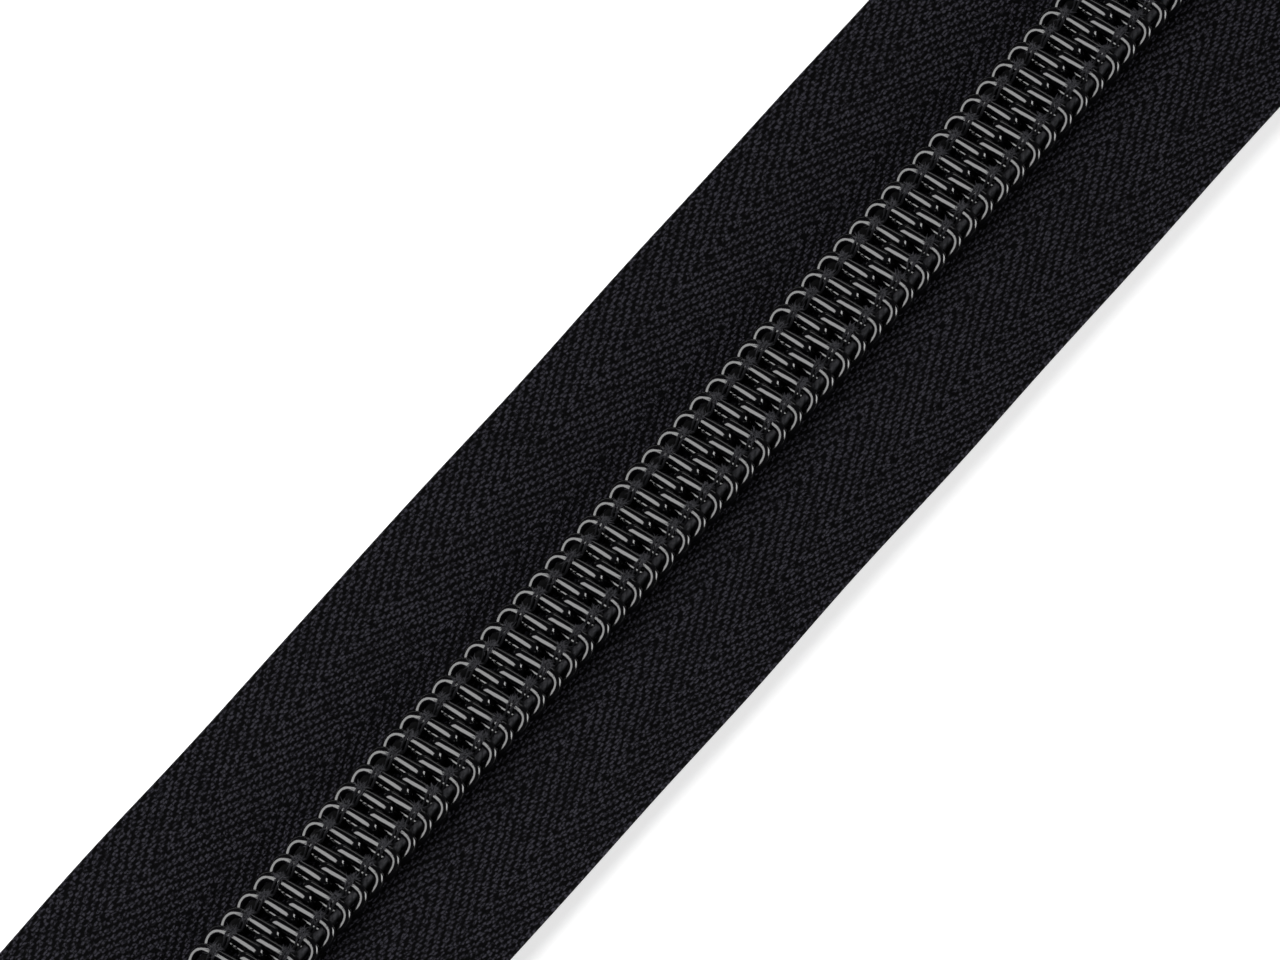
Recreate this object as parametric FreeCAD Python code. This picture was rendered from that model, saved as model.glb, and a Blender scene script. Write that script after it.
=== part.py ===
import FreeCAD, Part
import math
import os

# Closed-end coil zipper, size 10. Millimetres. X runs across the chain, Y runs along it from the
# bottom stop to the top stops, and Z is up, out of the face that carries the coils. The slider's
# underside is at Z = 0. Each side is drawn for X > 0 and mirrored for X < 0.

V = FreeCAD.Vector

# driving dimensions: the chain
PITCH = 2.54            # one coil turn along the chain, ten to the inch
TURNS = 99              # turns on the left side; the right side sits half a pitch further up
WIRE_R = 0.525          # coil monofilament
LEG_GAP = 1.90          # upper leg centre to lower leg centre
HEAD_PAST = 1.15        # how far a head reaches past the centre line
HEAD_R = 0.60           # bend at the top and bottom of a head
CHAIN_HALF = 5.15       # centre line to the outside of the heels
FIRST_LEG_Y = -133.5

# driving dimensions: the tape and what is sewn to it
TAPE_HALF_LENGTH = 140.0
TAPE_OUT = 19.65        # centre line to the tape's outer edge
TAPE_IN = 1.0           # centre line to the tape's inner edge
TAPE_Z = 1.60           # the tape's back face
TAPE_T = 0.60
SEWING_X = 9.5          # outside this line the tape is woven thinner, and is sewn down there
SEWING_STEP = 0.08
NEEDLE_R = 0.15
LOOPER_R = 0.12
NEEDLE_X = (2.60, 3.00)
LOOPER_X = (2.28, 3.34)
LOOP_R = 0.30           # bend of a needle thread under the tape
CORD_X, CORD_A, CORD_B = 3.63, 0.38, 0.30
STRAND_SIDES = 16

# driving dimensions: the stops
STOP_Y, STOP_LENGTH = -133.0, 4.0
STOP_WALL = (5.35, 6.15)              # inside and outside of the bottom stop's upright walls
STOP_Z = (0.35, 6.30)
STOP_T = 0.65
CLIP_Y = (2.7, 5.7)                   # the top stop, above the last leg
CLIP_OUT = (0.3, 4.7, 0.80, 4.90)     # X and Z of the clip's outside
CLIP_IN = (0.98, 4.0, 1.55, 4.15)     # X and Z of the room inside it

# driving dimensions: the slider
PLATE_T = 1.05
SLIDER_BELOW_TOP = 7.16 # last leg to the slider's middle when fully closed
ROOF_Z = 5.72           # underside of the top plate
ROOF_T = 1.10
LIP_Z = (1.25, 2.46)    # the gap in the flanges that the tape runs through
FLANGE_T = 1.0
CHANNEL = ((5.45, -8.0), (5.45, -2.5), (8.15, 5.6), (8.15, 8.0))
WEDGE = ((2.6, 0.12), (5.2, 0.74), (7.9, 1.40))       # along the slider, and half width
LUG_Y, LUG_T, LUG_HALF, LUG_TOP = (-5.7, 5.0), 0.7, 1.2, 8.3
TRUNNION_Z = 8.25
COVER_HALF, COVER_T, COVER_W, COVER_TOP = 6.6, 0.8, 4.0, 11.3
COVER_BEVEL = 1.6
LINK_LENGTH, LINK_X, LINK_R = 9.6, 3.10, 0.60
LINK_SLOPE, TAB_SLOPE = 1.5, 3.4      # degrees below level at rest
TAB_W, TAB_LENGTH, TAB_T, EYE_R = 8.4, 26.0, 1.6, 0.70
PAWL_PIVOT = (4.3, 9.35)              # along the slider, and Z
PAWL_W, PAWL_T, BEAD_R = 1.6, 0.5, 0.45
CLAW_X = (1.2, 2.1)
SPRING_T, SPRING_BOW = 0.22, 0.28

# derived
ZL = TAPE_Z + TAPE_T + 0.02 + WIRE_R
ZU = ZL + LEG_GAP
ZM = (ZL + ZU) / 2
HEAD_X = -HEAD_PAST + WIRE_R + HEAD_R
HEEL_R = 0.5 * math.hypot(PITCH, LEG_GAP)
HEEL_X = CHAIN_HALF - WIRE_R - HEEL_R
LAST_LEG_Y = FIRST_LEG_Y + TURNS * PITCH
SLIDER_Y = LAST_LEG_Y - SLIDER_BELOW_TOP
OVER_R = WIRE_R + NEEDLE_R + 0.04
ROOF_TOP = ROOF_Z + ROOF_T

# the two sides part inside the slider, each turning out at one bend
BEND_Y = LAST_LEG_Y - 4 * PITCH
PARTING_SLOPE = 0.256

# the claw drops between two upper legs of the right coil, near the slider's narrow end
CLAW_Y = FIRST_LEG_Y + PITCH * math.floor((SLIDER_Y - 2.6 - FIRST_LEG_Y) / PITCH)


def off(y):
    """How far each side stands out from its closed place at y."""
    return PARTING_SLOPE * max(0.0, y - BEND_Y)


def line(a, b):
    return Part.LineSegment(a, b).toShape()


def arc(a, b, c):
    return Part.Arc(a, b, c).toShape()


def box(x0, x1, y0, y1, z0, z1):
    return Part.makeBox(x1 - x0, y1 - y0, z1 - z0, V(x0, y0, z0))


def prism(points, z0, z1):
    """A flat outline of (x, y) points, extruded from z0 to z1."""
    ring = [V(x, y, z0) for x, y in points]
    return Part.Face(Part.makePolygon(ring + ring[:1])).extrude(V(0, 0, z1 - z0))


def side_prism(points, x0, x1):
    """A flat outline of (y, z) points, extruded from x0 to x1."""
    ring = [V(x0, y, z) for y, z in points]
    return Part.Face(Part.makePolygon(ring + ring[:1])).extrude(V(x1 - x0, 0, 0))


def sweep(edges, profile):
    pipe = Part.BRepOffsetAPI.MakePipeShell(Part.Wire(edges))
    pipe.add(Part.Wire([profile]))
    pipe.build()
    pipe.makeSolid()
    return pipe.shape()


def mirrored(shape):
    return shape.mirror(V(0, 0, 0), V(1, 0, 0))


def coil(y0, turns):
    """One monofilament: level legs, upright heads, and tilted heels that carry it up one pitch."""
    middle = (HEAD_X + HEEL_X) / 2
    r, k = HEAD_R, HEAD_R * math.sqrt(0.5)
    edges = []
    for n in range(turns):
        y = y0 + n * PITCH
        here, after = off(y), off(y + PITCH)
        head, heel = HEAD_X + here, HEEL_X + (here + after) / 2
        edges += [
            line(V(middle + here, y, ZU), V(head, y, ZU)),
            arc(V(head, y, ZU), V(head - k, y, ZU - r + k), V(head - r, y, ZU - r)),
            line(V(head - r, y, ZU - r), V(head - r, y, ZL + r)),
            arc(V(head - r, y, ZL + r), V(head - k, y, ZL + r - k), V(head, y, ZL)),
            line(V(head, y, ZL), V(heel, y, ZL)),
            arc(V(heel, y, ZL), V(heel + HEEL_R, y + PITCH / 2, ZM), V(heel, y + PITCH, ZU)),
            line(V(heel, y + PITCH, ZU), V(middle + after, y + PITCH, ZU)),
        ]
    start = V(middle + off(y0), y0, ZU)
    return sweep(edges, Part.Circle(start, V(1, 0, 0), WIRE_R).toShape())


def run_points(x, z, y0, y1):
    """Corner points of something that lies along a side, from y0 to y1."""
    return [V(x + off(y), y, z) for y in (y0, BEND_Y, y1)]


def run(x, z, y0, y1, across, upright):
    """A many-sided round or oval strand along a side, straight between its bends."""
    points = run_points(x, z, y0, y1)
    turns = [2 * math.pi * i / STRAND_SIDES for i in range(STRAND_SIDES + 1)]
    section = [V(across * math.cos(t), 0, upright * math.sin(t)) for t in turns]
    lengths = []
    for a, b in zip(points, points[1:]):
        strand = Part.Face(Part.makePolygon(section)).extrude(V(0, (b - a).Length + 0.2, 0))
        strand.translate(V(0, -0.1, 0))
        strand.rotate(V(), V(0, 0, 1), -math.degrees(math.atan2(b.x - a.x, b.y - a.y)))
        strand.translate(a)
        lengths.append(strand)
    return lengths[0].multiFuse(lengths[1:])


def tape():
    y = TAPE_HALF_LENGTH
    inner = [(p.x, p.y) for p in run_points(TAPE_IN, 0, -y, y)]
    outer = [(p.x, p.y) for p in run_points(TAPE_OUT, 0, -y, y)]
    shape = prism(inner + outer[::-1], TAPE_Z, TAPE_Z + TAPE_T)
    shape = shape.makeFillet(20, [e for e in shape.Edges if abs(e.CenterOfMass.y - BEND_Y) < 0.01
                                  and e.BoundBox.ZLength > 0.1])
    step = [(p.x, p.y) for p in run_points(SEWING_X, 0, -y - 1, y + 1)]
    beyond = [(p.x, p.y) for p in run_points(TAPE_OUT + 5, 0, -y - 1, y + 1)]
    shape = shape.cut(prism(step + beyond[::-1], TAPE_Z + TAPE_T - SEWING_STEP, TAPE_Z + TAPE_T + 1))
    # the slit that the bottom stop's side passes through, with room to swing
    half = STOP_LENGTH / 2 + 1.0
    return shape.cut(box(STOP_WALL[0] - 0.4, STOP_WALL[1] + 0.4, STOP_Y - half, STOP_Y + half, 0, 9))


def needle_thread(x, y0, legs):
    """Passes over every upper leg, and down through the tape between them."""
    lengths, edges, before = [], [], None
    for n in range(legs - 1):
        ya, yb = y0 + n * PITCH, y0 + (n + 1) * PITCH
        a, b = V(x + off(ya), ya, 0), V(x + off(yb), yb, 0)
        along = (b - a).normalize()
        half = (b - a).Length / 2

        def at(s, z):
            return a + along * s + V(0, 0, z)

        low = TAPE_Z - NEEDLE_R - 0.02 + LOOP_R
        reach = math.hypot(half, ZU - low)
        cs, cz = half / reach, -(ZU - low) / reach
        k = (OVER_R + LOOP_R) / reach
        w = math.sqrt(1 - k * k)
        ns, nz = cs * k - cz * w, cz * k + cs * w          # normal at both tangent points

        def bend(s, z, r, s0, z0, s1, z1):
            m = math.hypot(s0 + s1, z0 + z1)
            return arc(at(s + r * s0, z + r * z0), at(s + r * (s0 + s1) / m, z + r * (z0 + z1) / m),
                       at(s + r * s1, z + r * z1))

        far = 2 * half
        if before is None or before.getAngle(along) > 1e-6:
            if edges:
                top = at(0, ZU + OVER_R)
                lengths.append((edges + [line(top, top + before * 0.1)], before))
            edges = [line(at(-0.1, ZU + OVER_R), at(0, ZU + OVER_R))]
            before = along
        edges += [
            bend(0, ZU, OVER_R, 0, 1, ns, nz),
            line(at(OVER_R * ns, ZU + OVER_R * nz), at(half - LOOP_R * ns, low - LOOP_R * nz)),
            bend(half, low, LOOP_R, -ns, -nz, 0, -1),
            bend(half, low, LOOP_R, 0, -1, ns, -nz),
            line(at(half + LOOP_R * ns, low - LOOP_R * nz), at(far - OVER_R * ns, ZU + OVER_R * nz)),
            bend(far, ZU, OVER_R, -ns, nz, 0, 1),
        ]
    lengths.append((edges, before))
    strands = [sweep(e, Part.Circle(e[0].Vertexes[0].Point, d, NEEDLE_R).toShape()) for e, d in lengths]
    return strands[0].multiFuse(strands[1:])


def looper_thread(x, y0, y1):
    return run(x, TAPE_Z - LOOPER_R - 0.01, y0, y1, LOOPER_R, LOOPER_R)


def core_cord(y0, y1):
    return run(CORD_X, ZM, y0, y1, CORD_A, CORD_B)


def bottom_stop():
    """A metal staple round both coils. Its sides pass through the tapes and close under them."""
    half = STOP_LENGTH / 2
    x0, x1 = STOP_WALL
    z0, z1 = STOP_Z
    outer = box(-x1, x1, STOP_Y - half, STOP_Y + half, z0, z1)
    outer = outer.makeFillet(0.7, [e for e in outer.Edges if abs(e.tangentAt(0).y) > 0.9])
    return outer.cut(box(-x0, x0, STOP_Y - half - 1, STOP_Y + half + 1, z0 + STOP_T, z1 - STOP_T))


def top_stop():
    """A metal clip crimped round the tape's edge above the last turn."""
    y0, y1 = CLIP_Y
    ox0, ox1, oz0, oz1 = CLIP_OUT
    ix0, ix1, iz0, iz1 = CLIP_IN
    outer = box(ox0, ox1, y0, y1, oz0, oz1)
    outer = outer.makeFillet(0.6, [e for e in outer.Edges if abs(e.tangentAt(0).y) > 0.9])
    clip = outer.cut(box(ix0, ix1, y0 - 1, y1 + 1, iz0, iz1))
    # the mouth that the tape comes out of
    clip = clip.cut(box(ix1 - 0.1, ox1 + 0.3, y0 - 1, y1 + 1, TAPE_Z - 0.02, TAPE_Z + TAPE_T + 0.02))
    clip.rotate(V(0, 0, 0), V(0, 0, 1), -math.degrees(math.atan(PARTING_SLOPE)))
    clip.translate(V(off(LAST_LEG_Y), LAST_LEG_Y, 0))
    return clip


def slider_body():
    """Two plates joined by the wedge, with flanges that hold the coils and let the tapes out."""
    s, t = SLIDER_Y, FLANGE_T
    inside = [(x, s + y) for x, y in CHANNEL]
    outside = [(x + t, y) for x, y in inside]
    outline = outside + [(-x, y) for x, y in outside[::-1]]
    plates = prism(outline, 0, PLATE_T).fuse(prism(outline, ROOF_Z, ROOF_TOP))
    plates = plates.makeFillet(0.35, [e for e in plates.Edges
                                      if min(abs(e.BoundBox.ZMin - z) + abs(e.BoundBox.ZMax - z)
                                             for z in (0, ROOF_TOP)) < 1e-6])
    wall = inside + outside[::-1]
    parts = []
    for z0, z1 in ((PLATE_T - 0.1, LIP_Z[0]), (LIP_Z[1], ROOF_Z + 0.1)):
        right = prism(wall, z0, z1)
        parts += [right, mirrored(right)]
    # the wedge fills the space between the parted heads
    wedge = [(w, s + y) for y, w in WEDGE] + [(-w, s + y) for y, w in WEDGE[::-1]]
    parts.append(prism(wedge, PLATE_T - 0.1, ROOF_Z + 0.1))
    # lugs that carry the cover
    for y in LUG_Y:
        parts.append(box(-LUG_HALF, LUG_HALF, s + y, s + y + LUG_T, ROOF_TOP - 0.1, LUG_TOP))
    body = plates.multiFuse(parts).removeSplitter()
    # the window that the pawl's claw works through
    return body.cut(box(0.9, 2.4, CLAW_Y - 0.95, CLAW_Y + 0.95, ROOF_Z - 1, ROOF_TOP + 1))



def cover_outline(half, top, bevel, foot):
    """(y, z) points of the cover seen from the side: upright ends with bevelled corners."""
    y0, y1 = SLIDER_Y - half, SLIDER_Y + half
    return [(y0, foot), (y0, top - bevel), (y0 + bevel, top), (y1 - bevel, top), (y1, top - bevel), (y1, foot)]


def slider_cover():
    h, t, w, top = COVER_HALF, COVER_T, COVER_W / 2, COVER_TOP
    # an even wall: at the bevel, both faces turn through half a right angle
    inner_bevel = COVER_BEVEL + t * 0.41 - t
    outer = side_prism(cover_outline(h, top, COVER_BEVEL, ROOF_TOP), -w, w)
    inner = side_prism(cover_outline(h - t, top - t, inner_bevel, ROOF_TOP - 1), -w - 1, w + 1)
    shell = outer.cut(inner)
    long_edges = [e for e in shell.Edges
                  if abs(abs(e.CenterOfMass.x) - w) < 1e-6 and e.CenterOfMass.z > 7.6
                  and (e.BoundBox.ZMax > top - 0.01
                       or abs(abs(e.CenterOfMass.y - SLIDER_Y) - h) < 1e-6)]
    return shell.makeFillet(0.3, long_edges)


def pawl():
    """A lever under the leaf spring: a round pivot bead, an arm over the trunnion, and a claw."""
    py, pz = SLIDER_Y + PAWL_PIVOT[0], PAWL_PIVOT[1]
    w, t, c = PAWL_W / 2, PAWL_T / 2, 0.5           # c is half the claw's length along the chain
    bead = Part.makeCylinder(BEAD_R, PAWL_W + 0.2, V(-w - 0.1, py, pz), V(1, 0, 0))
    arm = box(-w, w, CLAW_Y - c, py, pz - t, pz + t)
    step = box(-w, CLAW_X[1], CLAW_Y - c, CLAW_Y + c, pz - t, pz + t)
    claw = side_prism([(CLAW_Y - c, pz), (CLAW_Y + c, pz), (CLAW_Y + c, 5.3),
                       (CLAW_Y + 0.18, 4.75), (CLAW_Y - 0.18, 4.75), (CLAW_Y - c, 5.3)], *CLAW_X)
    return bead.multiFuse([arm, step, claw]).removeSplitter()


def leaf_spring():
    """A thin bowed leaf held in the cover, pressing on the pawl's arm."""
    y, half, w = SLIDER_Y - 1.0, 3.2, 1.8
    low = PAWL_PIVOT[1] + PAWL_T / 2 + 0.03

    def bow(z):
        return arc(V(-w / 2, y - half, z + SPRING_BOW), V(-w / 2, y, z), V(-w / 2, y + half, z + SPRING_BOW))

    a, b = bow(low), bow(low + SPRING_T)
    ends = [line(a.Vertexes[k].Point, b.Vertexes[k].Point) for k in (0, -1)]
    face = Part.Face(Part.Wire(Part.__sortEdges__([a, b] + ends)))
    return face.extrude(V(w, 0, 0))


def pull_link():
    """A stirrup: the trunnion under the cover, two arms, and the bar that the tab hangs on."""
    s, z, r = SLIDER_Y, TRUNNION_Z, LINK_R
    x, y, b = LINK_X, s - LINK_LENGTH, 1 - math.sqrt(0.5)
    half = sweep([
        line(V(-0.05, s, z), V(x - 1, s, z)),
        arc(V(x - 1, s, z), V(x - b, s - b, z), V(x, s - 1, z)),
        line(V(x, s - 1, z), V(x, y + 1, z)),
        arc(V(x, y + 1, z), V(x - b, y + b, z), V(x - 1, y, z)),
        line(V(x - 1, y, z), V(-0.05, y, z)),
    ], Part.Circle(V(-0.05, s, z), V(1, 0, 0), r).toShape())
    link = half.fuse(mirrored(half)).removeSplitter()
    link.rotate(V(0, s, z), V(1, 0, 0), LINK_SLOPE)
    return link


def tab_pivot():
    a = math.radians(LINK_SLOPE)
    return V(0, SLIDER_Y - LINK_LENGTH * math.cos(a), TRUNNION_Z - LINK_LENGTH * math.sin(a))


def pull_tab():
    """A plate with an eye round the link's bar, a dished grip and a small hole at the free end."""
    p = tab_pivot()
    y0, y1 = p.y - TAB_LENGTH, p.y - 2.2
    w = TAB_W / 2
    plate = prism([(-1.9, p.y), (1.9, p.y), (1.9, y1 + 0.6), (w, y1 - 2.4), (w, y0 + 2.2), (w - 2.2, y0),
                   (2.2 - w, y0), (-w, y0 + 2.2), (-w, y1 - 2.4), (-1.9, y1 + 0.6)],
                  p.z - TAB_T / 2, p.z + TAB_T / 2)
    eye = Part.makeCylinder(EYE_R + 0.75, 3.8, V(-1.9, p.y, p.z), V(1, 0, 0))
    tab = plate.fuse(eye)
    upright = [e for e in tab.Edges if abs(e.BoundBox.ZLength - TAB_T) < 0.01
               and e.BoundBox.XLength < 0.01 and e.CenterOfMass.y < y1 + 0.1]
    tab = tab.makeFillet(1.0, upright)
    tab = tab.cut(Part.makeCylinder(EYE_R, 8, V(-4, p.y, p.z), V(1, 0, 0)))
    tab = tab.cut(Part.makeCylinder(1.7, 4, V(0, y0 + 4.0, p.z - 2)))
    for z0, z1 in ((p.z + TAB_T / 2 - 0.35, p.z + 3), (p.z - 3, p.z - TAB_T / 2 + 0.35)):
        grip = box(1.2 - w, w - 1.2, y0 + 7.2, y1 - 3.4, z0, z1)
        grip = grip.makeFillet(1.2, [e for e in grip.Edges if e.BoundBox.ZLength > 1])
        tab = tab.cut(grip)
    tab.rotate(p, V(1, 0, 0), TAB_SLOPE)
    return tab


os.makedirs("parts", exist_ok=True)


def save(name, shape):
    shape.exportStep("parts/" + name + ".step")
    bounds = shape.BoundBox
    print("%-24s valid %s  solids %d  volume %9.2f  z %.2f to %.2f" % (
        name, shape.isValid(), len(shape.Solids), shape.Volume, bounds.ZMin, bounds.ZMax))


stitched_to = LAST_LEG_Y + 0.5
for side in ("left", "right"):
    half_step = 0 if side == "left" else PITCH / 2
    turns = TURNS if side == "left" else TURNS - 1
    first = FIRST_LEG_Y + half_step
    pieces = {
        "tape": tape(),
        "coil": coil(first, turns),
        "core_cord": core_cord(FIRST_LEG_Y - 0.8, LAST_LEG_Y + 5.0),
        "top_stop": top_stop(),
    }
    for where, needle_x, looper_x in zip(("inner", "outer"), NEEDLE_X, LOOPER_X):
        pieces["needle_thread_" + where] = needle_thread(needle_x, first + PITCH, turns)
        pieces["looper_thread_" + where] = looper_thread(looper_x, FIRST_LEG_Y + 0.6, stitched_to)
    for piece, shape in pieces.items():
        save(side + "_" + piece, mirrored(shape) if side == "left" else shape)

save("bottom_stop", bottom_stop())
save("slider_body", slider_body())
save("slider_cover", slider_cover())
save("pawl", pawl())
save("leaf_spring", leaf_spring())
save("pull_link", pull_link())
save("pull_tab", pull_tab())
print("slider centre y %.3f  claw y %.3f  last leg y %.3f  tab pivot %s" % (
    SLIDER_Y, CLAW_Y, LAST_LEG_Y, tab_pivot()))
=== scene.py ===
import math

import bpy
import numpy as np
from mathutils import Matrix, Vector


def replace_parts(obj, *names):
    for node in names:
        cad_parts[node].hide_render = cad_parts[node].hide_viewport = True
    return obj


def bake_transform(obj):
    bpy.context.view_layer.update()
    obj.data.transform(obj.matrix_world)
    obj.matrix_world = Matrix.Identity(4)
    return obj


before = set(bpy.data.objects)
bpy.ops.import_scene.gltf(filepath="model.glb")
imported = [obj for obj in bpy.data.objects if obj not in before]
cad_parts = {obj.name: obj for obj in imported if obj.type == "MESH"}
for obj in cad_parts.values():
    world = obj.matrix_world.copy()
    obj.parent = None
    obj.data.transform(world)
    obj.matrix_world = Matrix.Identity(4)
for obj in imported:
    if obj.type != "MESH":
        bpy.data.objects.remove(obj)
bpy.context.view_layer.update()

# ---------------------------------------------------------------- sizes, millimetres
PITCH, TURNS = 2.54, 99
WIRE_R, LEG_GAP = 0.525, 1.90
FIRST_LEG_Y = -133.5
LAST_LEG_Y = FIRST_LEG_Y + TURNS * PITCH
BEND_Y, PARTING_SLOPE, BEND_SOFTNESS = LAST_LEG_Y - 4 * PITCH, 0.256, 1.0
TAPE_OUT, TAPE_IN, TAPE_Z, TAPE_T, TAPE_END = 19.65, 0.12, 1.60, 0.60, 140.0
STOP_GAP = 1.0                      # the tape's inner edge at the top stop, which clips round it
ZL = TAPE_Z + TAPE_T + 0.02 + WIRE_R
ZU = ZL + LEG_GAP
ZM = (ZL + ZU) / 2
HEAD_PAST, HEAD_R, CHAIN_HALF = 1.15, 0.60, 5.15
HEAD_X = -HEAD_PAST + WIRE_R + HEAD_R
HEEL_R = 0.5 * math.hypot(PITCH, LEG_GAP)
HEEL_X = CHAIN_HALF - WIRE_R - HEEL_R
NEEDLE_X = {"inner": 2.58, "outer": 3.00}
STRAND_R = 0.145
LEG_BOW = 0.30                      # how far an upper leg bends down the chain at its -X end
CORD_X = 3.52
EDGE_CURL = 1.5                     # how far the tapes' outer edges rise
YARN, TWILL_REPEAT = 0.296, 1.90    # warp spacing, and the twill's repeat along the tape
TWILL_TURNS = (17.5, 37.5)          # yarns, from the outer edge, where the twill turns round
MM = 0.001


def off(y):
    """How far a side has moved out from the closed chain, with the bend rounded off."""
    d = (np.asarray(y, float) - BEND_Y) / BEND_SOFTNESS
    return PARTING_SLOPE * BEND_SOFTNESS * np.where(d > 20, d, np.log1p(np.exp(np.minimum(d, 20))))


# ---------------------------------------------------------------- mesh helpers
def mesh_object(name, verts_mm, faces):
    mesh = bpy.data.meshes.new(name)
    verts = np.asarray(verts_mm, np.float32) * MM
    faces = np.asarray(faces, np.int32)
    n, k = faces.shape
    mesh.vertices.add(len(verts))
    mesh.vertices.foreach_set("co", verts.ravel())
    mesh.loops.add(n * k)
    mesh.loops.foreach_set("vertex_index", faces.ravel())
    mesh.polygons.add(n)
    mesh.polygons.foreach_set("loop_start", np.arange(n, dtype=np.int32) * k)
    mesh.update(calc_edges=True)
    mesh.validate()
    mesh.polygons.foreach_set("use_smooth", np.ones(len(mesh.polygons), bool))
    obj = bpy.data.objects.new(name, mesh)
    bpy.context.scene.collection.objects.link(obj)
    return obj


def unit(a):
    return a / np.maximum(np.linalg.norm(a, axis=-1, keepdims=True), 1e-12)


def frames(path, hint):
    """Tangent and two sideways unit vectors at each point; the second leans towards hint."""
    t = unit(np.gradient(path, axis=0))
    hint = np.broadcast_to(np.asarray(hint, float), t.shape)
    b = unit(hint - (hint * t).sum(1, keepdims=True) * t)
    return t, np.cross(b, t), b


def tube(path, rn, rb, hint, sides, capped=True):
    """Vertices and quads of a tube with an oval section, rn by rb, along path."""
    _, n, b = frames(path, hint)
    a = np.arange(sides) / sides * 2 * math.pi
    rn = np.broadcast_to(rn, len(path))[:, None, None]
    rb = np.broadcast_to(rb, len(path))[:, None, None]
    ring = (path[:, None, :] + rn * np.cos(a)[None, :, None] * n[:, None, :]
            + rb * np.sin(a)[None, :, None] * b[:, None, :])
    m = len(path)
    i = (np.arange(m - 1)[:, None] * sides + np.arange(sides)[None, :])
    j = (np.arange(m - 1)[:, None] * sides + (np.arange(sides)[None, :] + 1) % sides)
    quads = np.stack([i, i + sides, j + sides, j], -1).reshape(-1, 4)
    verts = ring.reshape(-1, 3)
    if capped:
        ends = []
        for row, flip in ((0, False), (m - 1, True)):
            base = row * sides
            for s in range(0, sides - 2, 2):
                q = [base, base + s + 1, base + s + 2, base + (s + 3) % sides]
                ends.append(q[::-1] if flip else q)
        quads = np.vstack([quads, np.array(ends)])
    return verts, quads


def joined(parts):
    verts, faces, base = [], [], 0
    for v, f in parts:
        verts.append(v)
        faces.append(f + base)
        base += len(v)
    return np.vstack(verts), np.vstack(faces)


def hairs(starts, ways, lengths, radius, rng, droop=0.35):
    """Fine curved fibres as thin three-sided tubes of three segments."""
    k = len(starts)
    side = unit(rng.normal(size=(k, 3)))
    t = np.linspace(0, 1, 4)
    curve = (starts[:, None, :] + ways[:, None, :] * (lengths[:, None] * t)[:, :, None]
             + side[:, None, :] * (lengths[:, None] * droop * t ** 2)[:, :, None])
    u = unit(np.cross(ways, rng.normal(size=(k, 3))))
    v = unit(np.cross(ways, u))
    a = np.arange(3) / 3 * 2 * math.pi
    around = np.cos(a)[None, :, None] * u[:, None, :] + np.sin(a)[None, :, None] * v[:, None, :]
    taper = radius * np.array([1.0, 0.9, 0.7, 0.3])
    verts = (curve[:, :, None, :] + taper[None, :, None, None] * around[:, None, :, :]).reshape(-1, 3)
    base = np.arange(k)[:, None, None] * 12 + np.arange(3)[None, :, None] * 3
    s = np.arange(3)[None, None, :]
    quads = np.stack(np.broadcast_arrays(base + s, base + s + 3, base + (s + 1) % 3 + 3,
                                         base + (s + 1) % 3), -1).reshape(-1, 4)
    return verts, quads


# ---------------------------------------------------------------- materials
class Nodes:
    """A material's node tree, with short ways to add maths."""

    def __init__(self, name):
        self.mat = bpy.data.materials.new(name)
        self.mat.use_nodes = True
        self.nt = self.mat.node_tree
        self.nt.nodes.clear()
        self.out = self.nt.nodes.new("ShaderNodeOutputMaterial")
        self.bsdf = self.nt.nodes.new("ShaderNodeBsdfPrincipled")
        self.nt.links.new(self.bsdf.outputs[0], self.out.inputs["Surface"])

    def put(self, socket, value):
        if isinstance(value, bpy.types.NodeSocket):
            self.nt.links.new(value, socket)
        else:
            socket.default_value = value

    def set(self, **values):
        for key, value in values.items():
            self.put(self.bsdf.inputs[key.replace("_", " ")], value)

    def maths(self, op, *values):
        node = self.nt.nodes.new("ShaderNodeMath")
        node.operation = op
        for socket, value in zip(node.inputs, values):
            self.put(socket, value)
        return node.outputs[0]

    def mapped(self, value, a, b, c, d, smooth=False):
        node = self.nt.nodes.new("ShaderNodeMapRange")
        if smooth:
            node.interpolation_type = "SMOOTHSTEP"
        for i, x in enumerate((value, a, b, c, d)):
            self.put(node.inputs[i], x)
        return node.outputs[0]

    def mix(self, share, a, b):
        node = self.nt.nodes.new("ShaderNodeMix")
        node.data_type = "RGBA"
        self.put(node.inputs[0], share)
        self.put(node.inputs[6], a)
        self.put(node.inputs[7], b)
        return node.outputs[2]

    def coords(self, kind="Object"):
        return self.nt.nodes.new("ShaderNodeTexCoord").outputs[kind]

    def scaled(self, vector, x, y, z):
        node = self.nt.nodes.new("ShaderNodeMapping")
        self.put(node.inputs["Vector"], vector)
        node.inputs["Scale"].default_value = (x, y, z)
        return node.outputs[0]

    def noise(self, vector, scale, detail=3.0, rough=0.55):
        node = self.nt.nodes.new("ShaderNodeTexNoise")
        self.put(node.inputs["Vector"], vector)
        node.inputs["Scale"].default_value = scale
        node.inputs["Detail"].default_value = detail
        node.inputs["Roughness"].default_value = rough
        return node.outputs[0]

    def bump(self, height, strength, distance_mm, normal=None):
        node = self.nt.nodes.new("ShaderNodeBump")
        node.inputs["Strength"].default_value = strength
        node.inputs["Distance"].default_value = distance_mm * MM
        self.put(node.inputs["Height"], height)
        if normal is not None:
            self.put(node.inputs["Normal"], normal)
        return node.outputs[0]


def rgb(r, g, b):
    return (r, g, b, 1.0)


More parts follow.
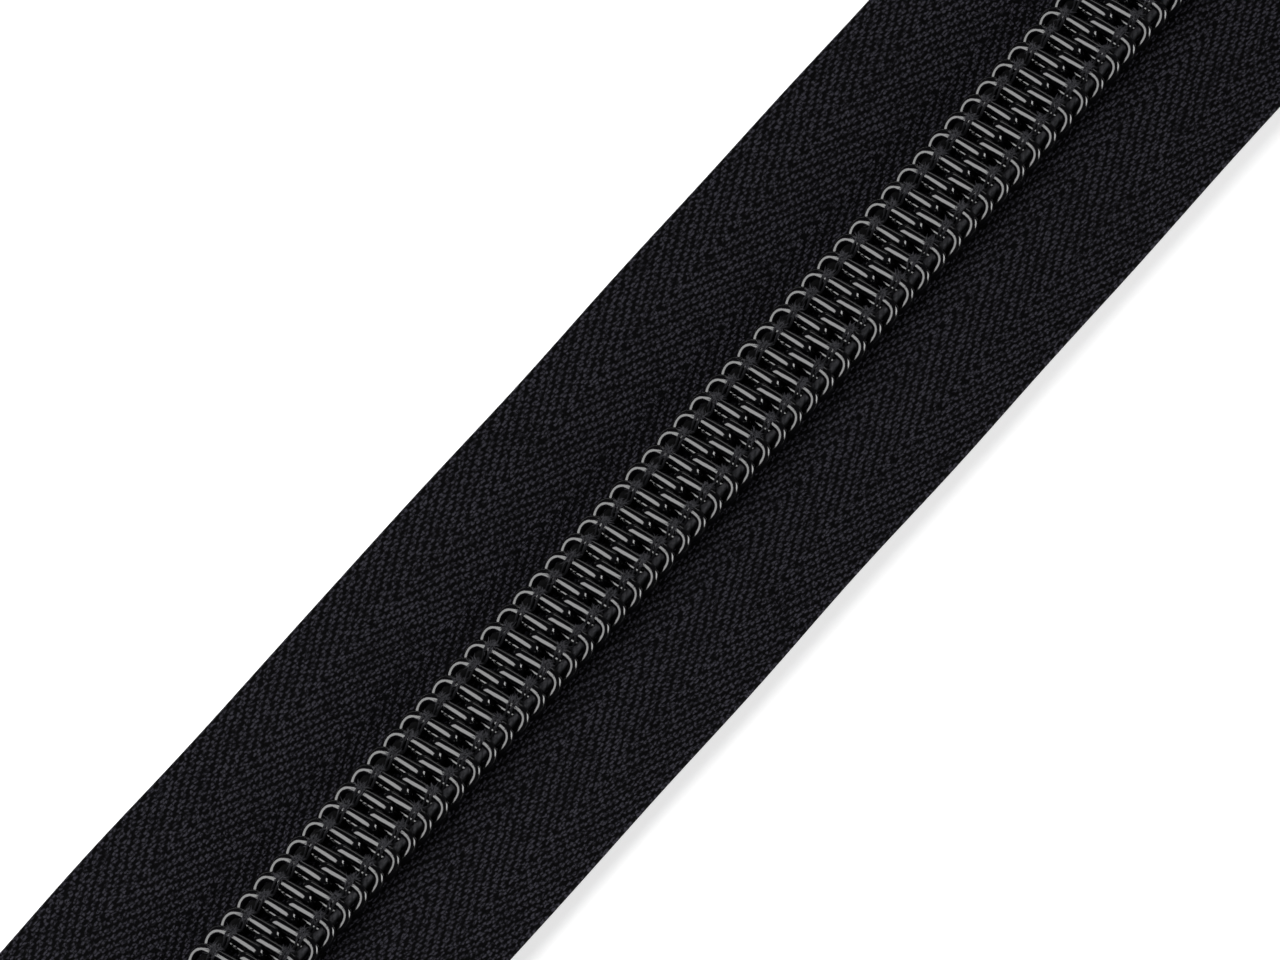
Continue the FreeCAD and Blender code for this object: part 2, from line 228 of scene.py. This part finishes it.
def tape_material():
    """Herringbone twill: fine warp yarns along the tape, each over two wefts and under one,
    stepped one weft from yarn to yarn, with the step turned round from band to band."""
    m = Nodes("tape_twill")
    uv = m.nt.nodes.new("ShaderNodeUVMap")
    uv.uv_map = "flat"
    flat = uv.outputs[0]
    wander = m.nt.nodes.new("ShaderNodeTexNoise")
    m.put(wander.inputs["Vector"], flat)
    wander.inputs["Scale"].default_value = 0.55
    wander.inputs["Detail"].default_value = 2.0
    split = m.nt.nodes.new("ShaderNodeSeparateXYZ")
    m.put(split.inputs[0], flat)
    shift = m.nt.nodes.new("ShaderNodeSeparateColor")
    m.put(shift.inputs[0], wander.outputs[1])
    fine = m.nt.nodes.new("ShaderNodeTexNoise")
    m.put(fine.inputs["Vector"], flat)
    fine.inputs["Scale"].default_value = 2.6
    wobble = m.nt.nodes.new("ShaderNodeSeparateColor")
    m.put(wobble.inputs[0], fine.outputs[1])
    u = m.maths("ADD", m.maths("ADD", split.outputs[0], m.mapped(shift.outputs[0], 0, 1, -0.16, 0.16)),
                m.mapped(wobble.outputs[0], 0.3, 0.7, -0.05, 0.05))
    v = m.maths("ADD", m.maths("ADD", split.outputs[1], m.mapped(shift.outputs[1], 0, 1, -0.40, 0.40)),
                m.mapped(wobble.outputs[1], 0.3, 0.7, -0.13, 0.13))
    yarn = m.maths("DIVIDE", u, YARN)
    column = m.maths("FLOOR", yarn)
    across = m.maths("SUBTRACT", m.maths("SUBTRACT", yarn, column), 0.5)
    # +1 in the outer and inner bands, -1 in the middle one
    middle = m.maths("MULTIPLY", m.maths("GREATER_THAN", column, TWILL_TURNS[0]),
                     m.maths("LESS_THAN", column, TWILL_TURNS[1]))
    turn = m.maths("SUBTRACT", 1.0, m.maths("MULTIPLY", middle, 2.0))
    jitter = m.nt.nodes.new("ShaderNodeTexWhiteNoise")
    jitter.noise_dimensions = "1D"
    m.put(jitter.inputs["W"], column)
    step = m.maths("MULTIPLY", m.maths("DIVIDE", column, 3.0), turn)
    phase = m.maths("ADD", m.maths("ADD", m.maths("DIVIDE", v, TWILL_REPEAT), step),
                    m.mapped(jitter.outputs[0], 0, 1, -0.07, 0.07))
    cell = m.maths("FLOOR", phase)
    along = m.maths("SUBTRACT", phase, cell)
    # the yarn is up for most of the repeat, with a dip in the middle, and under for the rest
    rise = m.mapped(along, 0.02, 0.18, 0.0, 1.0, True)
    fall = m.mapped(along, 0.60, 0.78, 1.0, 0.0, True)
    waist = m.mapped(m.maths("ABSOLUTE", m.maths("SUBTRACT", along, 0.40)), 0.0, 0.11, 0.35, 1.0, True)
    lift = m.maths("MULTIPLY", m.maths("MULTIPLY", rise, fall), waist)
    edge = m.maths("POWER", m.maths("MULTIPLY", m.maths("ABSOLUTE", across), 2.0), 3.0)
    warp = m.maths("MULTIPLY", lift, m.maths("SUBTRACT", 1.0, m.maths("MULTIPLY", edge, 0.75)))
    weave = m.maths("MAXIMUM", warp, 0.05)
    # each float has its own brightness
    tone = m.nt.nodes.new("ShaderNodeTexWhiteNoise")
    tone.noise_dimensions = "2D"
    pair = m.nt.nodes.new("ShaderNodeCombineXYZ")
    m.put(pair.inputs[0], column)
    m.put(pair.inputs[1], cell)
    m.put(tone.inputs["Vector"], pair.outputs[0])
    fibre = m.noise(m.scaled(flat, 5.5, 3.6, 1.0), 1.0, 3.0, 0.65)
    cloud = m.noise(flat, 0.9, 3.0, 0.6)
    # the colour follows the weave's height: painted shade in the pits under the floats and along each yarn's
    # edges, painted sheen on the raised floats; the tone from float to float, the fibres and the cloud are
    # the yarn's own
    level = m.maths("MULTIPLY", weave,
                    m.maths("MULTIPLY", m.mapped(tone.outputs[0], 0, 1, 0.70, 1.25),
                            m.maths("MULTIPLY", m.mapped(fibre, 0.35, 0.65, 0.05, 1.85),
                                    m.mapped(cloud, 0.3, 0.7, 0.85, 1.15))))
    colour = m.mix(m.maths("POWER", level, 1.7), rgb(0.0005, 0.0005, 0.0007), rgb(0.0310, 0.0298, 0.0385))
    height = m.maths("ADD", weave, m.maths("MULTIPLY", fibre, 0.30))
    m.set(Base_Color=colour, Roughness=m.mapped(fibre, 0.3, 0.7, 0.60, 0.80),
          Specular_IOR_Level=0.05, Normal=m.bump(height, 1.0, 0.18))
    return m.mat


def coil_material():
    m = Nodes("coil_nylon")
    here = m.coords()
    fine = m.noise(here, 1900.0, 3.0)
    broad = m.noise(here, 420.0, 2.0)
    scuff = m.mapped(m.noise(m.scaled(here, 1.0, 6.0, 1.0), 900.0, 4.0, 0.7), 0.60, 0.78, 0.0, 1.0, True)
    height = m.maths("ADD", m.maths("MULTIPLY", broad, 0.8), m.maths("MULTIPLY", fine, 0.25))
    m.set(Base_Color=m.mix(scuff, rgb(0.0012, 0.0012, 0.0016), rgb(0.005, 0.005, 0.006)),
          Roughness=m.maths("ADD", m.mapped(fine, 0.3, 0.7, 0.09, 0.15), m.maths("MULTIPLY", scuff, 0.14)),
          IOR=1.53, Normal=m.bump(height, 0.30, 0.05))
    return m.mat


def thread_material(name, low, high):
    m = Nodes(name)
    here = m.coords()
    fibre = m.noise(here, 5200.0, 4.0, 0.65)
    broad = m.noise(here, 900.0, 3.0)
    level = m.maths("MULTIPLY", m.mapped(fibre, 0.3, 0.7, 0.35, 1.0), m.mapped(broad, 0.3, 0.7, 0.6, 1.1))
    m.set(Base_Color=m.mix(level, rgb(*low), rgb(*high)), Roughness=m.mapped(fibre, 0.3, 0.7, 0.75, 0.95),
          Specular_IOR_Level=0.12, Normal=m.bump(fibre, 0.8, 0.03))
    return m.mat


def cord_material():
    """Dark spun yarn; the right-hand cord is painted paler over all but its outer edge, as painted light,
    while the left-hand one keeps the dark yarn colour.
    """
    m = Nodes("filler_cord")
    here = m.coords()
    split = m.nt.nodes.new("ShaderNodeSeparateXYZ")
    m.put(split.inputs[0], here)
    x = split.outputs[0]
    # painted light: between these x limits the right-hand cord gets a paler yarn colour, standing in for the
    # light it catches
    painted_lit_band = m.maths("MULTIPLY", m.mapped(x, (CORD_X - 0.75) * MM, (CORD_X - 0.45) * MM, 0.0, 1.0, True),
                        m.mapped(x, (CORD_X + 0.10) * MM, (CORD_X + 0.45) * MM, 1.0, 0.0, True))
    fibre = m.noise(m.scaled(here, 1.0, 0.45, 1.0), 5200.0, 4.0, 0.65)
    yarn = m.mix(m.mapped(fibre, 0.3, 0.7, 0.2, 1.0), rgb(0.0015, 0.0015, 0.0015), rgb(0.005, 0.005, 0.0055))
    painted_lit_yarn = m.mix(m.mapped(fibre, 0.3, 0.7, 0.2, 1.0), rgb(0.016, 0.016, 0.018), rgb(0.075, 0.075, 0.083))
    m.set(Base_Color=m.mix(painted_lit_band, yarn, painted_lit_yarn), Roughness=0.9, Specular_IOR_Level=0.08,
          Normal=m.bump(fibre, 0.8, 0.03))
    return m.mat


def enamel_material():
    m = Nodes("black_enamel")
    here = m.coords()
    peel = m.noise(here, 900.0, 2.0)
    grain = m.noise(here, 3600.0, 3.0)
    bare = m.mapped(m.noise(here, 620.0, 5.0, 0.7), 0.70, 0.76, 0.0, 1.0, True)
    height = m.maths("ADD", peel, m.maths("MULTIPLY", grain, 0.2))
    m.set(Base_Color=m.mix(bare, rgb(0.009, 0.009, 0.010), rgb(0.06, 0.058, 0.055)),
          Metallic=m.maths("MULTIPLY", bare, 0.8),
          Roughness=m.maths("ADD", m.mapped(grain, 0.3, 0.7, 0.26, 0.36), m.maths("MULTIPLY", bare, 0.15)),
          Coat_Weight=0.35, Coat_Roughness=0.12, Normal=m.bump(height, 0.30, 0.04))
    return m.mat


def steel_material():
    m = Nodes("spring_steel")
    here = m.coords()
    brushed = m.noise(m.scaled(here, 9.0, 1.0, 9.0), 900.0, 4.0, 0.6)
    m.set(Base_Color=m.mix(brushed, rgb(0.30, 0.30, 0.31), rgb(0.52, 0.52, 0.53)), Metallic=1.0,
          Roughness=m.mapped(brushed, 0.3, 0.7, 0.24, 0.40), Normal=m.bump(brushed, 0.25, 0.02))
    return m.mat


def floor_material():
    m = Nodes("glowing_paper_sweep")
    here = m.coords()
    grain = m.noise(here, 700.0, 4.0)
    # the paper glows with emission 0.5: painted light that brightens the floor, washes out the shadows cast
    # on it and adds a little fill light on the chain
    m.set(Base_Color=m.mix(m.mapped(grain, 0.3, 0.7, 0.0, 1.0), rgb(0.90, 0.90, 0.90), rgb(0.92, 0.92, 0.92)),
          Roughness=0.92, Specular_IOR_Level=0.1, Normal=m.bump(grain, 0.05, 0.05),
          Emission_Color=rgb(1, 1, 1), Emission_Strength=0.50)
    return m.mat


TAPE = tape_material()
COIL = coil_material()
THREAD = thread_material("sewing_thread", (0.002, 0.002, 0.0025), (0.012, 0.012, 0.014))
FUZZ = thread_material("thread_fuzz", (0.027, 0.027, 0.031), (0.062, 0.062, 0.070))
CORD = cord_material()
ENAMEL = enamel_material()
STEEL = steel_material()


# ---------------------------------------------------------------- pieces
def dress(obj, material):
    obj.data.materials.clear()
    obj.data.materials.append(material)
    return obj


def along_side(obj):
    """Bakes the piece's placement into its mesh; its shape already parts outwards above the bend."""
    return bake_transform(obj)


def bowed(verts, sign):
    """Upper legs bend a little down the chain towards their -X ends."""
    x = verts[:, 0] - sign * off(verts[:, 1])
    reach = np.clip((HEAD_PAST - x if sign < 0 else NEEDLE_X["outer"] - x) / 5.0, 0, 1)
    level = np.clip((verts[:, 2] - ZL) / LEG_GAP, 0, 1)
    verts[:, 1] -= LEG_BOW * reach ** 2 * level
    return verts


def climb(share):
    """How much of a pitch a heel has gained at a share of its way up: all of it before the top."""
    t = min(share / 0.85, 1.0)
    return t * t * (3 - 2 * t)


def coil_path(y0, turns):
    """Centre line, and the wire's width along the chain at each point: heads are stamped wider."""
    pts, wide = [], []

    def add(x, y, z, w=1.0):
        pts.append((x, y, z))
        wide.append(w)

    middle = (HEAD_X + HEEL_X) / 2
    for n in range(turns):
        y = y0 + n * PITCH
        here, after = float(off(y)), float(off(y + PITCH))
        head, heel = HEAD_X + here, HEEL_X + (here + after) / 2
        start = middle + here if n == 0 else HEEL_X + (float(off(y - PITCH)) + here) / 2
        for s in np.linspace(0, 1, 7)[:-1]:
            add(start + (head - start) * s, y, ZU, 1 + 0.16 * s ** 2)
        for a in np.linspace(0, math.pi / 2, 7):
            add(head - HEAD_R * math.sin(a), y, ZU - HEAD_R * (1 - math.cos(a)), 1.16 + 0.06 * math.sin(a))
        for a in np.linspace(math.pi / 2, 0, 7):
            add(head - HEAD_R * math.sin(a), y, ZL + HEAD_R * (1 - math.cos(a)), 1.16 + 0.06 * math.sin(a))
        for s in np.linspace(0, 1, 5)[1:-1]:
            add(head + (heel - head) * s, y, ZL, 1.16 - 0.16 * s)
        for a in np.linspace(0, math.pi, 19)[:-1]:
            add(heel + HEEL_R * math.sin(a), y + PITCH * climb(a / math.pi), ZM - LEG_GAP / 2 * math.cos(a))
    add(heel, y + PITCH, ZU)
    add(middle + after, y + PITCH, ZU)
    return np.array(pts), np.array(wide)


def make_coil(side, sign, first, turns):
    path, wide = coil_path(first, turns)
    path[:, 0] *= sign
    verts, quads = tube(path, WIRE_R, WIRE_R * wide, (0, 1, 0), 18)
    obj = mesh_object(side + "_coil_wire", bowed(verts, sign), quads)
    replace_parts(dress(obj, COIL), side + "_coil")
    return along_side(obj)


def make_tape(side, sign, seed):
    """A woven tape with a soft selvedge, which curls up and waves a little away from the chain."""
    rng = np.random.RandomState(seed)
    ys = np.arange(-TAPE_END, TAPE_END + 0.01, 1.0)
    width = TAPE_OUT - TAPE_IN
    us = np.concatenate([np.arange(0, 1.0, 0.25), np.arange(1.0, width - 0.4, 0.5),
                         width - np.array([0.4, 0.2, 0.05, 0.0])])
    waves = [(rng.uniform(28, 70), rng.uniform(0, 6.28)) for _ in range(4)]
    sway = sum(np.sin(ys / w * 6.283 + p) for w, p in waves[:2]) * 0.03
    inner_edge = np.interp(ys, (BEND_Y, LAST_LEG_Y), (TAPE_IN, STOP_GAP))
    rows = []
    for u in us:                                  # u runs from the outer edge to the inner edge
        x = TAPE_OUT - u * (TAPE_OUT - inner_edge) / width
        share = np.clip((x - 7.0) / (TAPE_OUT - 7.0), 0, 1) ** 1.5
        lift = sum(np.sin(ys / w * 6.283 + p + x * 0.05) for w, p in waves[2:]) * 0.10
        z = (EDGE_CURL + lift) * share
        z = z - 0.12 * np.exp(-((x - 6.6) / 1.3) ** 2)          # pulled down beside the stitching
        rows.append((x + off(ys) + sway * share, z))
    edge = 0.5 * TAPE_T * np.sqrt(np.clip(1 - (1 - np.clip(us / 0.30, 0, 1)) ** 2, 0.0, 1))
    inner = 0.5 * TAPE_T * np.sqrt(np.clip(1 - (1 - np.clip((width - us) / 0.20, 0, 1)) ** 2, 0.0, 1))
    half = np.minimum(np.minimum(edge, inner), 0.5 * TAPE_T)
    half = np.maximum(half, 0.03)
    mid = TAPE_Z + TAPE_T / 2
    nu, ny = len(us), len(ys)
    faces = []
    for way in (1, -1):                           # the upper face, then the lower one
        for (x, z), h in zip(rows, half):
            faces.append(np.stack([sign * x, ys, mid + z + way * h], 1))
    verts = np.vstack(faces)
    idx = np.arange(nu * ny).reshape(nu, ny)
    quads = []
    a, b, c, d = idx[:-1, :-1], idx[1:, :-1], idx[1:, 1:], idx[:-1, 1:]
    quads.append(np.stack([a, b, c, d], -1).reshape(-1, 4))
    quads.append(np.stack([a, d, c, b], -1).reshape(-1, 4) + nu * ny)
    for line, flip in ((idx[0], True), (idx[-1], False), (idx[:, 0], False), (idx[:, -1], True)):
        q = np.stack([line[:-1], line[:-1] + nu * ny, line[1:] + nu * ny, line[1:]], -1)
        quads.append(q[:, ::-1] if flip else q)
    quads = np.vstack(quads)
    if sign > 0:
        quads = quads[:, ::-1]
    obj = mesh_object(side + "_tape_cloth", verts, quads)
    flat = np.tile(np.stack(np.meshgrid(us, ys, indexing="ij"), -1).reshape(-1, 2), (2, 1))
    layer = obj.data.uv_layers.new(name="flat")
    loops = np.zeros(len(obj.data.loops), np.int32)
    obj.data.loops.foreach_get("vertex_index", loops)
    layer.data.foreach_set("uv", flat[loops].astype(np.float32).ravel())
    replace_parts(dress(obj, TAPE), side + "_tape")
    return along_side(obj)


def stitch_path(x, first, legs, depth, seed):
    """A thread that crosses each upper leg and dips by depth between legs."""
    rng = np.random.RandomState(seed)
    over = WIRE_R + STRAND_R - 0.02
    pts = []
    for n in range(legs - 1):
        y = first + n * PITCH
        dx = rng.normal(0, 0.035)
        dz = rng.normal(0, 0.02)
        for a in np.radians([-62, -45, -30, -15, 0, 15, 30, 45, 62]):
            pts.append((x + dx + off(y), y + over * math.sin(a), ZU + dz + over * math.cos(a)))
        mid = y + PITCH / 2
        sag = depth * rng.uniform(0.9, 1.1)
        xs = x + off(mid) + rng.normal(0, 0.04)
        z_edge = ZU + over * math.cos(math.radians(62))
        floor_z = z_edge - sag
        for s in (-0.5, -0.25, 0, 0.25, 0.5):
            k = 1 - (s / 0.62) ** 2
            pts.append((xs, mid + s * (PITCH - 2 * over * 0.88) * 0.8, z_edge + (floor_z - z_edge) * k))
    return np.array(pts, float)


def smoothed(path, step):
    """The path resampled at an even step along a rounded curve."""
    for _ in range(2):
        a, b = path[:-1] * 0.75 + path[1:] * 0.25, path[:-1] * 0.25 + path[1:] * 0.75
        path = np.concatenate([path[:1], np.stack([a, b], 1).reshape(-1, 3), path[-1:]])
    s = np.concatenate([[0], np.cumsum(np.linalg.norm(np.diff(path, axis=0), axis=1))])
    at = np.linspace(0, s[-1], int(s[-1] / step) + 2)
    return np.stack([np.interp(at, s, path[:, i]) for i in range(3)], 1), at


def plied(path, at, radius, plies, lay, sides, hint=(1, 0, 0)):
    """Plies twisted round a path. lay is the length of one twist."""
    _, n, b = frames(path, hint)
    parts = []
    r = radius * 0.54
    for k in range(plies):
        a = at / lay * 2 * math.pi + k * 2 * math.pi / plies
        ply = path + (radius - r) * (np.cos(a)[:, None] * n + np.sin(a)[:, None] * b)
        parts.append(tube(ply, r, r, hint, sides))
    return joined(parts)


def make_needle(side, sign, where, first, legs, seed):
    rng = np.random.RandomState(seed)
    x = NEEDLE_X[where]
    depth = 0.95 if where == "inner" else 1.15
    path, at = smoothed(stitch_path(x, first, legs, depth, seed), 0.13)
    parts = [plied(path, at, STRAND_R, 3, 1.15, 6)]
    # fibres standing off the thread, most of them where it crosses a leg
    count = 42 * legs
    leg = rng.randint(0, legs - 1, count)
    a = rng.normal(0, 0.48, count)
    over = WIRE_R + STRAND_R
    y = first + leg * PITCH + over * np.sin(a)
    start = np.stack([x + off(first + leg * PITCH) + rng.uniform(-0.17, 0.17, count), y,
                      ZU + over * np.cos(a) + 0.05], 1)
    way = unit(np.stack([rng.normal(0, 1.0, count), rng.normal(0, 0.9, count) + np.sin(a),
                         rng.uniform(-0.25, 0.75, count)], 1))
    parts.append(hairs(start, way, rng.uniform(0.15, 0.62, count), 0.029, rng))
    verts, quads = joined(parts)
    verts[:, 0] *= sign
    obj = mesh_object("%s_stitching_%s" % (side, where), bowed(verts, sign), quads)
    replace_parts(dress(obj, THREAD), "%s_needle_thread_%s" % (side, where))
    obj.data.materials.append(FUZZ)
    index = np.zeros(len(obj.data.polygons), np.int32)
    index[len(parts[0][1]):] = 1
    obj.data.polygons.foreach_set("material_index", index)
    return along_side(obj)


def make_looper(side, sign, where, first, legs, seed):
    """The back of a chain stitch: a row of small loops along the underside of the tape."""
    x = NEEDLE_X[where] - 0.12
    pts = []
    z = TAPE_Z - 0.17
    for n in range(legs - 1):
        y = first + n * PITCH
        for dy, dx, dz in ((0.0, 0.0, 0.04), (0.5, 0.13, -0.02), (1.3, 0.15, -0.02), (1.9, 0.02, 0.02),
                           (1.3, -0.13, -0.03), (0.9, -0.14, -0.03), (1.4, -0.05, -0.05), (2.2, 0.0, -0.02)):
            pts.append((x + dx + float(off(y + dy)), y + dy, z + dz))
    path, at = smoothed(np.array(pts), 0.14)
    verts, quads = plied(path, at, 0.12, 2, 0.9, 5, hint=(0, 0, 1))
    verts[:, 0] *= sign
    obj = mesh_object("%s_chain_stitch_%s" % (side, where), verts, quads)
    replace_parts(dress(obj, THREAD), "%s_looper_thread_%s" % (side, where))
    return along_side(obj)


def make_cord(side, sign, seed):
    """The filler cord in the coil: three soft plies that swell a little between the turns."""
    ys = np.arange(FIRST_LEG_Y - 0.8, LAST_LEG_Y + 5.0, 0.16)
    half = 0.0 if side == "left" else PITCH / 2
    beat = 0.5 - 0.5 * np.cos((ys - FIRST_LEG_Y - half) / PITCH * 2 * math.pi)
    path = np.stack([CORD_X + off(ys) + 0.04 * np.sin(ys * 0.9 + seed), ys, np.full(len(ys), ZM)], 1)
    parts = []
    for k in range(3):
        a = ys / 3.4 * 2 * math.pi + k * 2 * math.pi / 3
        ply = path + np.stack([0.20 * np.cos(a), 0 * a, 0.09 * np.sin(a)], 1)
        parts.append(tube(ply, (0.27 + 0.08 * beat), (0.22 + 0.06 * beat), (0, 0, 1), 10))
    verts, quads = joined(parts)
    verts[:, 0] *= sign
    obj = mesh_object(side + "_filler_cord", verts, quads)
    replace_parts(dress(obj, CORD), side + "_core_cord")
    return along_side(obj)


for number, (side, sign) in enumerate((("left", -1), ("right", 1))):
    first = FIRST_LEG_Y + (0 if side == "left" else PITCH / 2)
    turns = TURNS if side == "left" else TURNS - 1
    make_coil(side, sign, first, turns)
    make_tape(side, sign, 11 + number)
    make_cord(side, sign, 21 + number)
    for k, where in enumerate(("inner", "outer")):
        make_needle(side, sign, where, first + PITCH, turns, 31 + 2 * number + k)
        make_looper(side, sign, where, first + PITCH, turns, 41 + 2 * number + k)

for name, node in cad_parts.items():
    if name in ("pawl", "leaf_spring"):
        dress(node, STEEL)
    elif name.endswith("top_stop") or name == "bottom_stop":
        dress(node, ENAMEL)
    elif name.startswith("slider") or name.startswith("pull"):
        dress(node, ENAMEL)

# ---------------------------------------------------------------- floor, light, camera
bpy.ops.mesh.primitive_plane_add(size=6.0, location=(0, 0, -0.0003))
floor = bpy.context.object
floor.name = "paper"
floor.data.materials.append(floor_material())

AZIMUTH, ELEVATION = 37.6, 58.0
SCALE = 10.35                       # picture widths are 1280 units: units per millimetre
TARGET = Vector((-3.47, 0.0, 3.7)) * MM


def direction(azimuth, elevation):
    """Unit vector from the object towards something at that bearing; 0 is the near side of +Y."""
    a, e = math.radians(azimuth), math.radians(elevation)
    return Vector((math.sin(a) * math.cos(e), -math.cos(a) * math.cos(e), math.sin(e)))


camera = bpy.data.objects.new("camera", bpy.data.cameras.new("camera"))
bpy.context.scene.collection.objects.link(camera)
camera.data.lens, camera.data.sensor_width = 1000.0, 36.0
distance = camera.data.lens / camera.data.sensor_width * (1280 / SCALE) * MM
back = direction(AZIMUTH, ELEVATION)
camera.location = TARGET + back * distance
camera.rotation_mode = "QUATERNION"
camera.rotation_quaternion = (-back).to_track_quat("-Z", "Y")
camera.data.clip_start, camera.data.clip_end = 0.05, 20.0
bpy.context.scene.camera = camera


def softbox(name, bearing, elevation, metres, width, height, watts):
    """bearing is measured from the camera's own azimuth: 90 is the right of the picture."""
    light = bpy.data.lights.new(name, "AREA")
    light.shape, light.size, light.size_y, light.energy = "RECTANGLE", width, height, watts
    obj = bpy.data.objects.new(name, light)
    bpy.context.scene.collection.objects.link(obj)
    way = direction(AZIMUTH + bearing, elevation)
    obj.location = way * metres
    obj.rotation_mode = "QUATERNION"
    obj.rotation_quaternion = way.to_track_quat("Z", "Y")
    return obj


softbox("key", -62, 36, 0.9, 0.75, 1.10, 17.0)
softbox("rear", 163, 26, 1.0, 0.60, 0.16, 0.7)
softbox("right", 80, 21, 1.0, 0.60, 0.45, 8.0)

world = bpy.data.worlds.new("studio")
world.use_nodes = True
world.node_tree.nodes["Background"].inputs[0].default_value = (1, 1, 1, 1)
world.node_tree.nodes["Background"].inputs[1].default_value = 0.04
bpy.context.scene.world = world
bpy.context.scene.view_settings.view_transform = "Standard"
